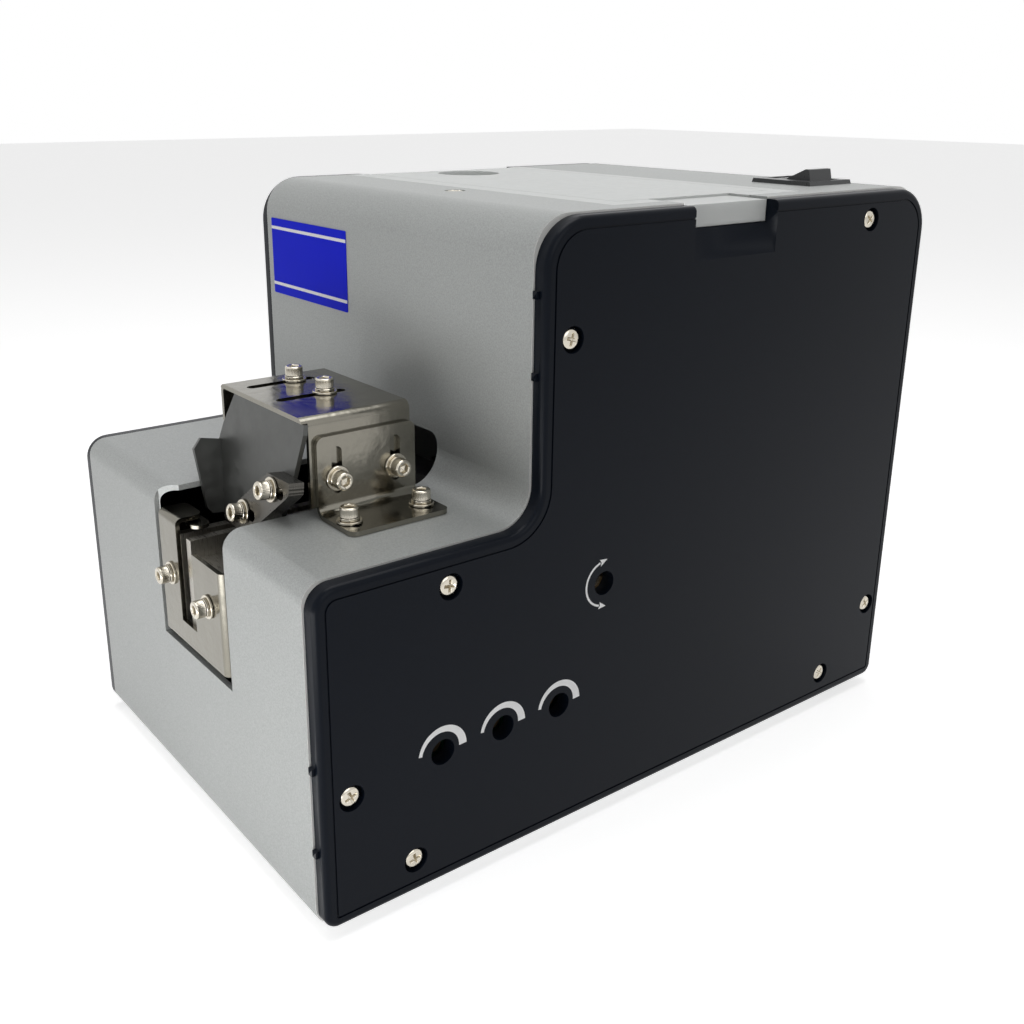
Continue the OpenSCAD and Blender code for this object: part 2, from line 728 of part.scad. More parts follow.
// The wing that is folded forward along the slanting left edge
module guide_wing() {
    run = guide_bend[1] - guide_bend[0];
    len = norm(run);
    translate([guide_bend[0][0], 0, -guide_bend[0][1]]) rotate([0, -atan2(run[0], run[1]), 0])
        translate([0, plate_t, 0]) along_x(0, plate_t) difference() {
            polygon([[0, 0], [-plate_t - guide_wing_w[0] + 2, 0.6], [-plate_t - guide_wing_w[0], -2.2],
                     [-plate_t - guide_wing_w[1], -len + 1.5],
                     [-plate_t - guide_wing_w[1] + 1.5, -len], [0, -len]]);
        }
}

module guide_plate() color(steel) on_feet() difference() {
    union() {
        block(guide_flange_x, [guide_y + 0.2, guide_flange_y], [guide_z - plate_t, guide_z]);
        on_guide() {
            along_y(0, plate_t) guide_outline();
            guide_wing();
        }
    }
    for (x = guide_screw_x) rod_z(cs_tap_r, guide_z - 3, guide_z + 1, x, guide_screw_y);
    on_guide() for (p = bar_screw) rod_y(cs_tap_r, -1, plate_t + 1, p[0], -p[1]);
}

module guide_screws() color(nickel) on_feet() for (x = guide_screw_x)
    translate([x, guide_screw_y, hood_top + slip]) clamp_screw(7);

module height_bar() color(steel) on_feet() on_guide() along_y(-slip - bar_t, -slip) difference() {
    polygon([for (p = bar_pts) [p[0], -p[1]]]);
    for (k = [0, 1]) slot2d([bar_slot_x[k][0] + slot_w / 2, -bar_screw[k][1]],
                            [bar_slot_x[k][1] - slot_w / 2, -bar_screw[k][1]], slot_w);
    // Grip ridges on the free end
    for (z = [14.1, 15, 15.9]) translate([34.9, -z]) circle(r = 0.75);
}

module bar_screws() color(nickel) on_feet() on_guide() for (p = bar_screw)
    translate([p[0], -bar_t - 2 * slip, -p[1]]) rotate([90, 0, 0]) clamp_screw(7);

// ---- rails ----

// One rail: a lip beside the screw gap on top of a long block
module rail(lip, body, z0) {
    block(body, [rail_y0 + (z0 > block_z ? slip : 0), block_y1], [z0, block_top]);
    block(lip, [rail_y0 + (z0 > block_z ? slip : 0), block_y1], [z0, rail_top]);
    block(lip, [block_y1 - eps, lip_y1], [lip_z, rail_top]);
}

module left_rail() color(steel) on_feet() difference() {
    rail([rail_l_x - rail_lip, rail_l_x], [block_l_x, rail_l_x], block_z);
    rod_y(cs_tap_r, rail_y0 - 1, rail_y0 + 8, fs_left[0], fs_left[1]);
}

module right_rail() color(steel) on_feet() difference() {
    rail([rail_r_x, rail_r_x + rail_lip], [rail_r_x, block_r_x], block_z + slip);
    rod_y(cs_tap_r, rail_y0 - 1, rail_y0 + 8, fs_right[0], fs_right[1]);
}

module front_plate() color(nickel) on_feet() difference() {
    union() {
        // Front wall with the upright slot, its right edge bent back
        translate([0, 0, fp_z]) linear_extrude(fp_right_top - fp_z) difference() {
            round_rect(fp_x, [fp_y, fp_side_y], [0, fp_bend_r, 0, 0]);
            round_rect([fp_x[0] - 1, fp_x[1] - plate_t], [fp_y + plate_t, fp_side_y + 1],
                       [0, fp_bend_r - plate_t, 0, 0]);
        }
        // Left column with its top edge bent back
        along_x(fp_x[0], fp_slot_x[0]) difference() {
            round_rect([fp_y, fp_flange_y], [fp_right_top - 2, fp_left_top], [0, 0, 0, fp_bend_r]);
            round_rect([fp_y + plate_t, fp_flange_y + 1], [fp_right_top - 3, fp_left_top - plate_t],
                       [0, 0, 0, fp_bend_r - plate_t]);
        }
    }
    along_y(fp_y - 1, fp_y + plate_t + 1) {
        translate([fp_slot_x[0], fp_slot_z]) square([fp_slot_x[1] - fp_slot_x[0], 40]);
        translate([fs_left[0], fs_left[1]]) circle(r = cs_tap_r);
        slot2d([fs_slot_x[0] + slot_w / 2, fs_right[1]], [fs_slot_x[1] - slot_w / 2, fs_right[1]], slot_w);
    }
    block([fp_x[1] - 4, fp_x[1] + 1], [fp_y + plate_t, fp_side_y + 1], [fp_z - 1, fp_side_z]);
    // Round the corners of the top flange
    translate([0, 0, fp_left_top - 3]) linear_extrude(6) {
        corner_waste([fp_x[0], fp_flange_y], 2.5, -1, 1);
        corner_waste([fp_slot_x[0], fp_flange_y], 2.5, 1, 1);
    }
}

module front_screw_left() color(nickel) on_feet()
    translate([fs_left[0], fp_y, fs_left[1]]) rotate([90, 0, 0]) clamp_screw(7);

module front_screw_right() color(nickel) on_feet()
    translate([fs_right[0], fp_y - slip, fs_right[1]]) rotate([90, 0, 0]) clamp_screw(7);

module stop_finger() color(nickel) on_feet() {
    translate([0, 0, finger_z]) linear_extrude(finger_t)
        slot2d([block_l_x + finger_r, finger_y], [finger_x, finger_y], 2 * finger_r);
    block([block_l_x, block_l_x + finger_post_w], [finger_y - finger_r, finger_y + finger_r],
          [block_top, finger_z + finger_t]);
}

// ---- vibrator ----

module rail_carrier() color(steel) on_feet()
    block([block_l_x, block_r_x], [rail_y0 + 2, block_y1], [carrier_z, block_z]);

module leaf_springs() color(nickel) on_feet() for (y = spring_y)
    block(spring_x, [y - spring_t / 2, y + spring_t / 2], [spring_z, carrier_z]);

module armature() color(steel) on_feet()
    block([coil_x - 8, coil_x + 8], [armature_y, armature_y + 3], [coil_z - 8, carrier_z]);

module magnet_core() color(steel) on_feet() rod_y(core_r, magnet_y[0], magnet_y[1], coil_x, coil_z);

module magnet_coil() color(copper) on_feet() difference() {
    rod_y(coil_r, magnet_y[0] + 1.5, magnet_y[1] - 2, coil_x, coil_z);
    rod_y(core_r + screw_fit, magnet_y[0], magnet_y[1], coil_x, coil_z);
}

module vibrator_base() color(steel) on_feet() {
    block(vib_x, vib_y, [vib_z, vib_z + vib_slab]);
    // Clamps that the leaf springs stand in
    for (y = spring_y, side = [-1, 1]) {
        inner = spring_t / 2 + spring_play;
        ys = side > 0 ? [y + inner, y + inner + 4] : [y - inner - 4, y - inner];
        block([spring_x[0], spring_x[1]], ys, [vib_z + vib_slab - eps, vib_z + vib_slab + 9]);
    }
    // Upright that holds the magnet
    block([coil_x - 9, coil_x + 9], [magnet_y[0] - 4, magnet_y[0]], [vib_z + vib_slab - eps, coil_z + 10]);
}

module isolators() color(rubber) on_feet() isolators_at() rod_z(4.5, sheet_t + base_t, vib_z, 0, 0);

// ---- lock gate ----

module lock_gate() color(nickel) on_feet() difference() {
    union() {
        block(gate_x, gate_y, gate_z);
        block([gate_arm_x, gate_x[1]], [gate_arm_y, gate_y[1]], [gate_arm_z, gate_z[1]]);
    }
    // Slot for the crank pin
    along_x(gate_arm_x - 1, gate_x[1] + 1) slot2d(
        [lock_y + crank_throw * cos(40) - 0.3, lock_z], [lock_y + crank_throw + 0.3, lock_z],
        2 * (crank_pin_r + crank_play));
    // The arm clears the rail's way out of the hopper
    block([gate_arm_x - 1, gate_x[1] + 1], [gate_y[0] + 0.5, gate_y[1] + 1], [gate_arm_z - 1, gate_z[0]]);
}

module gate_guide() color(black_plastic) on_feet() difference() {
    block([gate_x[0] - 3.5, gate_x[1] + 3.5], [gate_y[0] - 2.7, bin_y[0]], [gate_z[0] + 6.5, 106]);
    block([gate_x[0] - 0.3, gate_x[1] + 0.3], [gate_y[0] - 0.3, bin_y[0] + 1], [gate_z[0], 102.5]);
    block([gate_arm_x - 0.4, gate_x[1] + 0.3], [gate_y[0] - 4, bin_y[0] + 1], [gate_z[0], 102.5]);
}

module gate_adjuster() color(nickel) on_feet() difference() {
    union() {
        rod_x(shaft_r, crank_x[1] - eps, adjuster_end, lock_y, lock_z);
        rod_x(crank_r, crank_x[0], crank_x[1], lock_y, lock_z);
        rod_x(crank_pin_r, gate_arm_x - 0.5, crank_x[0] + eps, lock_y + crank_throw, lock_z);
    }
    block([adjuster_end - 1.5, adjuster_end + 1], [lock_y - 4, lock_y + 4], [lock_z - 0.5, lock_z + 0.5]);
}

module adjuster_bush() color(copper) on_feet() difference() {
    rod_x(5.5, shell_x - 6, shell_x, lock_y, lock_z);
    rod_x(shaft_r + shaft_fit, shell_x - 7, shell_x + 1, lock_y, lock_z);
}

module crank_bearing() color(black_plastic) on_feet() difference() {
    block(bearing_x, [lock_y - 5, bin_y[0]], [lock_z - 6, lock_z + 6]);
    rod_x(shaft_r + shaft_fit, bearing_x[0] - 1, bearing_x[1] + 1, lock_y, lock_z);
}

module sensor_block() color(black_plastic) on_feet() difference() {
    union() {
        block(sensor_x, [sensor_y, bin_y[0]], sensor_z);
        block([-14, sensor_x[0] + eps], [sensor_y, sensor_y + 9], [sensor_z[1] - 3.5, sensor_z[1]]);
        block([-14, -9], [sensor_y, sensor_y + 9], sensor_z);
    }
    rod_z(1.5 + screw_fit, sensor_z[0] - 1, sensor_z[1] + 1, sensor_screw_xy[0], sensor_screw_xy[1]);
}

module sensor_screw() color(black_plastic) on_feet()
    translate([sensor_screw_xy[0], sensor_screw_xy[1], sensor_z[1]]) difference() {
        union() {
            rod_z(1.5, -8, eps, 0, 0);
            rod_z(2.75, 0, 5, 0, 0);
        }
        translate([0, 0, 3]) cylinder(r = 1.45, h = 3, $fn = 6);
    }

// ---- controls ----

module control_board() color(board_green) on_feet() difference() {
    union() {
        block([board_x, board_x + board_t], board_y, board_z);
        // The larger parts on the board
        block([board_x - 9, board_x + eps], [-44, -30], [18, 30]);
        for (y = [-66, -56]) rod_x(4, board_x - 12, board_x + eps, y, 24);
        block([board_x - 6, board_x + eps], [-80, -72], [30, 46]);
    }
    for (p = post_yz) rod_x(m3_shank_r + screw_fit, board_x - 1, board_x + board_t + 1, p[0], p[1]);
}

module board_posts() color(nickel) on_feet() for (p = post_yz) difference() {
    rod_x(3, board_x + board_t, shell_x, p[0], p[1]);
    rod_x(m3_shank_r + screw_fit, board_x, board_x + 8, p[0], p[1]);
}

module board_screws() color(nickel) on_feet() for (p = post_yz) {
    rod_x(2.75, board_x - 1.6, board_x, p[0], p[1]);
    rod_x(m3_shank_r, board_x - eps, board_x + 6, p[0], p[1]);
}

module trimmer_bodies() color([0.1, 0.2, 0.5]) on_feet() for (k = [-1, 0, 1]) difference() {
    translate([board_x + board_t, trim_y + k * trim_pitch - trimmer_w / 2, trim_z - trimmer_w / 2])
        cube([trimmer_top - board_x - board_t, trimmer_w, trimmer_w]);
    rod_x(rotor_r + shaft_fit, trimmer_top - 3, trimmer_top + 1, trim_y + k * trim_pitch, trim_z);
}

module trimmer_rotor(k) {
    y = trim_y + k * trim_pitch;
    difference() {
        rod_x(rotor_r, trimmer_top - 2.9, rotor_end, y, trim_z);
        block([rotor_end - 1.2, rotor_end + 1], [y - 0.45, y + 0.45], [trim_z - 4, trim_z + 4]);
    }
}
module speed_trimmer() color(nickel) on_feet() trimmer_rotor(-1);
module vibrator_trimmer() color(nickel) on_feet() trimmer_rotor(0);
module roller_trimmer() color(nickel) on_feet() trimmer_rotor(1);

module power_socket() color(black_plastic) on_feet() difference() {
    union() {
        rod_y(jack_flange_r, rear_y, rear_y + jack_flange_t, jack_x, jack_z);
        rod_y(jack_r, rear_y - 13, rear_y + eps, jack_x, jack_z);
    }
    difference() {
        rod_y(2.75, rear_y - 10, rear_y + 2, jack_x, jack_z);
        rod_y(1, rear_y - 11, rear_y, jack_x, jack_z);
    }
}

module socket_nut() color(nickel) on_feet() difference() {
    translate([jack_x, rear_y - sheet_t, jack_z]) rotate([90, 0, 0]) cylinder(r = 6.4, h = 2.5, $fn = 6);
    rod_y(jack_r + screw_fit, rear_y - 6, rear_y, jack_x, jack_z);
}

housing_shell();
base_plate();
right_side_panel();
left_side_panel();
panel_screws();
rubber_feet();
foot_screws();
hopper_bin();
hopper_frame();
hopper_lid();
top_screw();
switch_body();
switch_rocker();
angle_bracket();
bracket_screws();
hood();
hood_screws();
guide_plate();
guide_screws();
height_bar();
bar_screws();
front_plate();
front_screw_left();
front_screw_right();
stop_finger();
left_rail();
right_rail();
rail_carrier();
leaf_springs();
armature();
magnet_coil();
magnet_core();
vibrator_base();
isolators();
feed_wheel();
wheel_shaft();
shaft_bush();
gear_motor();
motor_spacers();
lock_gate();
gate_guide();
gate_adjuster();
adjuster_bush();
crank_bearing();
sensor_block();
sensor_screw();
control_board();
board_posts();
board_screws();
trimmer_bodies();
speed_trimmer();
vibrator_trimmer();
roller_trimmer();
power_socket();
socket_nut();
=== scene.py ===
"""Looks of the automatic screw feeder: materials, fine detail, label, printed marks, light and camera."""

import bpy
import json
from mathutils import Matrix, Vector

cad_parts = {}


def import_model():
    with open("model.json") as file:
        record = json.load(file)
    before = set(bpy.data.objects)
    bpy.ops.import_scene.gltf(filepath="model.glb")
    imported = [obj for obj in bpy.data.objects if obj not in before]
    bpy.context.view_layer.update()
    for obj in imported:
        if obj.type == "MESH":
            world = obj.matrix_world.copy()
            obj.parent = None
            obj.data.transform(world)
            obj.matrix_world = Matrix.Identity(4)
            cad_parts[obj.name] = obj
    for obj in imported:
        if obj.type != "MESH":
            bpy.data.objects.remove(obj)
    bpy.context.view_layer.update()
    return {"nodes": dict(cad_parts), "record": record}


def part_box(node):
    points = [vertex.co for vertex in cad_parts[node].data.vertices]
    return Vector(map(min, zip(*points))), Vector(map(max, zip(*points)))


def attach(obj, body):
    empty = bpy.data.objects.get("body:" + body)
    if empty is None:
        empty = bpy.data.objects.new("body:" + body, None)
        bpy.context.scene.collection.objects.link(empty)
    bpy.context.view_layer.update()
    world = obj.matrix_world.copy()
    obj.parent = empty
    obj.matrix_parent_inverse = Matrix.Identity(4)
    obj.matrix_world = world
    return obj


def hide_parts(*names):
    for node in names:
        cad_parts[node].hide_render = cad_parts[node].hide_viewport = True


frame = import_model()

import json
import math

import bmesh
import bpy
from mathutils import Matrix, Vector

MM = 0.001
FOOT = 3.0
HALF_W = 68.0
SHELL_X = 64.0
# The machine's middle lies slightly behind the origin, which is centred on the whole part
MIDDLE_Y = (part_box("housing_shell")[0][1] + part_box("housing_shell")[1][1]) / 2 / MM
RISER_Y = MIDDLE_Y - 42.0
LEAN = math.radians(7)


# ---- materials ----

class Shader:
    """Wires one procedural material around a Principled shader."""

    def __init__(self, name, **values):
        self.mat = bpy.data.materials.new(name)
        self.mat.use_nodes = True
        self.tree = self.mat.node_tree
        self.tree.nodes.clear()
        out = self.add("ShaderNodeOutputMaterial")
        self.bsdf = self.add("ShaderNodeBsdfPrincipled")
        self.link(self.bsdf.outputs[0], out.inputs["Surface"])
        self.coord = self.add("ShaderNodeTexCoord").outputs["Object"]
        self.heights = []
        for key, value in values.items():
            self.set(key.replace("_", " "), value)

    def add(self, kind, **attributes):
        node = self.tree.nodes.new(kind)
        for key, value in attributes.items():
            setattr(node, key, value)
        return node

    def link(self, source, target):
        self.tree.links.new(source, target)

    def put(self, socket, value):
        if isinstance(value, bpy.types.NodeSocket):
            self.link(value, socket)
        elif isinstance(value, tuple) and len(value) == 3 and socket.type == "RGBA":
            socket.default_value = (*value, 1.0)
        else:
            socket.default_value = value

    def set(self, name, value):
        names = {key.name.lower(): key for key in self.bsdf.inputs}
        self.put(names[name.lower()], value)

    def math(self, operation, a, b=0.0, clamp=False):
        node = self.add("ShaderNodeMath", operation=operation, use_clamp=clamp)
        self.put(node.inputs[0], a)
        self.put(node.inputs[1], b)
        return node.outputs[0]

    def stretched(self, scale):
        node = self.add("ShaderNodeMapping")
        self.link(self.coord, node.inputs["Vector"])
        node.inputs["Scale"].default_value = scale
        return node.outputs[0]

    def noise(self, scale, detail=2.0, roughness=0.5, stretch=None):
        node = self.add("ShaderNodeTexNoise")
        self.link(self.stretched(stretch) if stretch else self.coord, node.inputs["Vector"])
        node.inputs["Scale"].default_value = scale
        node.inputs["Detail"].default_value = detail
        node.inputs["Roughness"].default_value = roughness
        return node.outputs["Fac"]

    def cells(self, scale):
        node = self.add("ShaderNodeTexVoronoi")
        self.link(self.coord, node.inputs["Vector"])
        node.inputs["Scale"].default_value = scale
        return node.outputs["Distance"]

    def remap(self, value, low, high, to_low, to_high):
        node = self.add("ShaderNodeMapRange")
        for socket, number in zip(node.inputs, (value, low, high, to_low, to_high)):
            self.put(socket, number)
        return node.outputs[0]

    def mix(self, factor, a, b):
        node = self.add("ShaderNodeMix", data_type="RGBA")
        self.put(node.inputs[0], factor)
        self.put(node.inputs[6], a)
        self.put(node.inputs[7], b)
        return node.outputs[2]

    def position(self):
        node = self.add("ShaderNodeSeparateXYZ")
        self.link(self.coord, node.inputs[0])
        return node.outputs

    def normal(self):
        node = self.add("ShaderNodeSeparateXYZ")
        self.link(self.add("ShaderNodeNewGeometry").outputs["Normal"], node.inputs[0])
        return node.outputs

    def bump(self, height, strength, distance):
        node = self.add("ShaderNodeBump")
        self.link(height, node.inputs["Height"])
        node.inputs["Strength"].default_value = strength
        node.inputs["Distance"].default_value = distance
        if self.heights:
            self.link(self.heights[-1], node.inputs["Normal"])
        self.heights.append(node.outputs[0])
        self.set("Normal", node.outputs[0])
        return self


def housing_paint():
    """Silver-grey textured coat; the sheet's cut ends at the sides are bare and bright."""
    s = Shader("housing_paint", metallic=0.3)
    grain = s.noise(2600, 3.0, 0.6)
    cloud = s.noise(18, 2.0)
    x = s.math("ABSOLUTE", s.position()[0])
    cut = s.math("GREATER_THAN", x, (SHELL_X - 0.06) * MM)
    coat = s.mix(cloud, (0.335, 0.347, 0.34), (0.375, 0.387, 0.38))
    speck = s.remap(grain, 0.35, 0.68, 0.86, 1.12)
    tone = s.add("ShaderNodeVectorMath", operation="SCALE")
    s.link(coat, tone.inputs[0])
    s.link(speck, tone.inputs["Scale"])
    s.set("Base Color", s.mix(cut, tone.outputs[0], (0.74, 0.74, 0.72)))
    s.set("Roughness", s.remap(cut, 0.0, 1.0, 0.46, 0.3))
    s.bump(grain, 0.16, 0.0001)
    return s.mat


def panel_paint():
    s = Shader("panel_paint", roughness=0.3, specular_ior_level=0.09)
    cloud = s.noise(9, 2.0)
    s.set("Base Color", s.mix(cloud, (0.0022, 0.0038, 0.0072), (0.0034, 0.0054, 0.0102)))
    s.bump(s.noise(1500, 2.0), 0.08, 0.0001)
    return s.mat


def plated(name, low, high, rough, wobble=0.1):
    """Plated or polished sheet: faint streaks, cloudy patches and a slight waviness."""
    s = Shader(name, metallic=1.0)
    streak = s.noise(60, 4.0, 0.6, (1.0, 14.0, 14.0))
    cloud = s.noise(90, 3.0)
    s.set("Base Color", s.mix(cloud, low, high))
    s.set("Roughness", s.remap(s.math("ADD", streak, cloud), 0.7, 1.3, rough * 0.7, rough * 1.4))
    s.bump(s.noise(220, 2.0), wobble, 0.0004)
    s.bump(s.noise(3000, 2.0), 0.05, 0.00006)
    return s.mat


def milled(name, low, high):
    s = Shader(name, metallic=1.0)
    streak = s.noise(300, 3.0, 0.6, (1.0, 22.0, 1.0))
    s.set("Base Color", s.mix(streak, low, high))
    s.set("Roughness", s.remap(streak, 0.3, 0.7, 0.24, 0.38))
    s.bump(streak, 0.2, 0.00008)
    return s.mat


def dull_metal(name, low, high, rough=0.45, grain=0.12):
    s = Shader(name, metallic=1.0)
    cloud = s.noise(260, 4.0, 0.6)
    s.set("Base Color", s.mix(cloud, low, high))
    s.set("Roughness", s.remap(cloud, 0.3, 0.7, rough * 0.8, rough * 1.2))
    s.bump(cloud, grain, 0.0001)
    return s.mat


def plastic(name, low, high, rough, grain=0.12, grain_scale=1800, **values):
    s = Shader(name, **values)
    cloud = s.noise(30, 2.0)
    s.set("Base Color", s.mix(cloud, low, high))
    s.set("Roughness", s.remap(s.noise(400, 2.0), 0.3, 0.7, rough * 0.9, rough * 1.1))
    s.bump(s.noise(grain_scale, 2.0), grain, 0.0001)
    return s.mat


def frosted():
    return plastic("frosted_plastic", (0.50, 0.515, 0.505), (0.55, 0.565, 0.555), 0.42, 0.2, 900,
                   subsurface_weight=0.25, subsurface_radius=(0.004, 0.004, 0.004), subsurface_scale=1.0)


def circuit_board():
    s = Shader("circuit_board", roughness=0.35)
    tracks = s.add("ShaderNodeTexBrick")
    s.link(s.stretched((0.0, 1.0, 1.0)), tracks.inputs["Vector"])
    tracks.inputs["Scale"].default_value = 160
    tracks.inputs["Mortar Size"].default_value = 0.06
    s.set("Base Color", s.mix(tracks.outputs["Fac"], (0.012, 0.10, 0.045), (0.03, 0.22, 0.09)))
    s.bump(tracks.outputs["Fac"], 0.2, 0.00005)
    return s.mat


def winding():
    s = Shader("copper_wire", metallic=1.0, roughness=0.3)
    y = s.math("MULTIPLY", s.position()[1], 2 * math.pi / 0.0005)
    turns = s.math("SINE", y)
    # The base colour follows the turns: the darker colour in the grooves between turns is painted shade, and the
    # lighter colour on their crests is painted highlight.
    s.set("Base Color", s.mix(turns, (0.30, 0.11, 0.04), (0.72, 0.34, 0.16)))
    s.bump(turns, 0.6, 0.00015)
    return s.mat


def label_blue():
    s = Shader("label_blue", roughness=0.4, specular_ior_level=0.05)
    s.set("Base Color", s.mix(s.noise(40, 2.0), (0.002, 0.009, 0.58), (0.003, 0.012, 0.66)))
    s.bump(s.noise(600, 2.0), 0.03, 0.0001)
    return s.mat


def print_white():
    s = Shader("print_white", roughness=0.5)
    s.set("Base Color", s.mix(s.noise(700, 2.0), (0.78, 0.78, 0.78), (0.86, 0.86, 0.86)))
    s.bump(s.noise(2500, 2.0), 0.1, 0.00005)
    return s.mat


MATERIALS = {
    "housing_paint": housing_paint(),
    "panel_paint": panel_paint(),
    "nickel_plate": plated("nickel_plate", (0.19, 0.18, 0.152), (0.25, 0.238, 0.203), 0.17, 0.22),
    "polished_steel": dull_metal("polished_steel", (0.10, 0.102, 0.098), (0.108, 0.11, 0.106), 0.4, 0.02),
    "milled_steel": milled("milled_steel", (0.34, 0.325, 0.29), (0.48, 0.46, 0.42)),
    "bar_steel": milled("bar_steel", (0.065, 0.062, 0.056), (0.12, 0.115, 0.104)),
    "zinc_steel": dull_metal("zinc_steel", (0.42, 0.43, 0.45), (0.60, 0.61, 0.62)),
    "screw_steel": plated("screw_steel", (0.52, 0.48, 0.40), (0.64, 0.60, 0.52), 0.14, 0.05),
    "black_steel": dull_metal("black_steel", (0.10, 0.10, 0.095), (0.16, 0.16, 0.15), 0.25),
    "frosted_plastic": frosted(),
    "grey_plastic": plastic("grey_plastic", (0.30, 0.31, 0.31), (0.36, 0.37, 0.37), 0.5),
    "black_plastic": plastic("black_plastic", (0.012, 0.012, 0.013), (0.02, 0.02, 0.022), 0.45),
    "switch_plastic": plastic("switch_plastic", (0.016, 0.018, 0.02), (0.026, 0.028, 0.03), 0.3),
    "rubber": plastic("rubber", (0.012, 0.012, 0.012), (0.022, 0.022, 0.022), 0.75, 0.3, 900),
    "bronze": dull_metal("bronze", (0.07, 0.05, 0.028), (0.11, 0.08, 0.045), 0.4),
    "copper_wire": winding(),
    "circuit_board": circuit_board(),
    "trimmer_plastic": plastic("trimmer_plastic", (0.012, 0.05, 0.30), (0.02, 0.07, 0.36), 0.4),
    "label_blue": label_blue(),
    "print_white": print_white(),
}


def dress(obj, slot):
    obj.data.materials.clear()
    obj.data.materials.append(MATERIALS[slot])


# ---- mesh helpers ----

def new_piece(name, mesh, body, slot, material=None):
    obj = bpy.data.objects.new(name, mesh)
    bpy.context.scene.collection.objects.link(obj)
    dress(obj, material or slot)
    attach(obj, body)
    return obj


def shade(mesh, degrees=35):
    mesh.polygons.foreach_set("use_smooth", [True] * len(mesh.polygons))
    mesh.set_sharp_from_angle(angle=math.radians(degrees))


def loft(bm, rings, cap_start=True, cap_end=True, closed=True):
    """Joins rings of equal length with quads."""
    made = [[bm.verts.new(p) for p in ring] for ring in rings]
    count = len(made[0])
    last = count if closed else count - 1
    for low, high in zip(made, made[1:]):
        for k in range(last):
            bm.faces.new((low[k], low[(k + 1) % count], high[(k + 1) % count], high[k]))
    if cap_start:
        bm.faces.new(list(reversed(made[0])))
    if cap_end:
        bm.faces.new(made[-1])
    return made


def ring(radius, z, count, centre=(0.0, 0.0)):
    """radius is a number or a function of the angle."""
    points = []
    for k in range(count):
        a = 2 * math.pi * k / count
        r = radius(a) if callable(radius) else radius
        points.append(Vector((centre[0] + r * math.cos(a), centre[1] + r * math.sin(a), z)))
    return points


def islands(node):
    """The vertices of each separate solid of a CAD node."""
    bm = bmesh.new()
    bm.from_mesh(frame["nodes"][node].data)
    bmesh.ops.remove_doubles(bm, verts=bm.verts, dist=1e-6)
    left = set(bm.verts)
    groups = []
    while left:
        stack = [left.pop()]
        group = []
        while stack:
            v = stack.pop()
            group.append(v.co.copy())
            for e in v.link_edges:
                o = e.other_vert(v)
                if o in left:
                    left.remove(o)
                    stack.append(o)
        groups.append(group)
    bm.free()
    return sorted(groups, key=lambda g: tuple(round(c, 5) for c in g[0]))


def stations(node, axis):
    """For each solid of revolution in a node: a frame at its head end, and its length."""
    axis = Vector(axis).normalized()
    side = axis.cross(Vector((0.31, 0.53, 0.79))).normalized()
    if abs(axis.z) < 0.5:
        side = axis.cross(Vector((0, 0, 1))).normalized()
    other = axis.cross(side)
    found = []
    for group in islands(node):
        spans = [(min(p.dot(d) for p in group), max(p.dot(d) for p in group)) for d in (side, other, axis)]
        centre = side * sum(spans[0]) / 2 + other * sum(spans[1]) / 2 + axis * spans[2][1]
        matrix = Matrix((side, other, axis)).transposed().to_4x4()
        matrix.translation = centre
        found.append((matrix, spans[2][1] - spans[2][0]))
    return found


# ---- screws ----

def hexagon(radius):
    def at(a):
        return radius * math.cos(math.pi / 6) / math.cos((a % (math.pi / 3)) - math.pi / 6)
    return at


def knurl(radius, depth, count):
    def at(a):
        return radius - depth * (0.5 - 0.5 * math.cos(a * count))
    return at


def socket_screw(bm, length):
    """A socket head screw with a split spring washer and a flat washer; z = 0 is the head's top."""
    n = 144
    head, spring, flat = 2.5, 0.8, 0.6
    seat = -(head + spring + flat)
    rings = [ring(1.2, -length / MM, n), ring(1.2, -head, n), ring(2.15, -head, n), ring(2.3, -head + 0.15, n)]
    rings += [ring(knurl(2.3, 0.09, 36), -head + 0.3, n), ring(knurl(2.3, 0.09, 36), -0.55, n)]
    rings += [ring(2.27, -0.38, n), ring(2.18, -0.16, n), ring(2.0, -0.02, n), ring(1.85, 0.0, n)]
    rings += [ring(1.45, 0.0, n), ring(hexagon(1.36), -0.1, n), ring(hexagon(1.3), -0.2, n),
              ring(hexagon(1.3), -1.4, n), ring(0.05, -1.7, n)]
    made = loft(bm, rings)
    # Split spring washer, slightly twisted open
    turns = []
    for k in range(65):
        a = math.radians(7 + 346 * k / 64)
        rise = 0.1 * k / 64
        low, high = seat + flat + rise, seat + flat + 0.68 + rise
        turns.append([Vector((r * math.cos(a), r * math.sin(a), z)) for r, z in (
            (1.32, low), (2.36, low), (2.46, low + 0.1), (2.46, high - 0.1), (2.36, high), (1.32, high))])
    made += loft(bm, turns)
    # Flat washer
    made += loft(bm, [ring(r, z, 96) for r, z in (
        (1.32, seat), (3.0, seat), (3.1, seat + 0.1), (3.1, seat + flat - 0.12), (3.0, seat + flat), (1.32, seat + flat))],
        False, False)
    return made


def cross_outline(length, width):
    def at(a):
        c, s = abs(math.cos(a)) + 1e-9, abs(math.sin(a)) + 1e-9
        return max(min(length / c, width / s), min(width / c, length / s))
    return at


def pan_screw(bm, length):
    """A pan head screw with a cross recess; z = 0 is the head's top."""
    n = 96
    rings = [ring(1.25, -length / MM, n), ring(1.25, -1.6, n), ring(2.6, -1.6, n), ring(2.75, -1.45, n),
             ring(2.75, -0.95, n), ring(2.66, -0.62, n), ring(2.42, -0.33, n), ring(2.05, -0.12, n),
             ring(1.72, -0.03, n), ring(cross_outline(1.6, 0.42), 0.0, n), ring(cross_outline(1.5, 0.34), -0.12, n),
             ring(cross_outline(0.95, 0.24), -1.0, n), ring(0.04, -1.35, n)]
    return loft(bm, rings)


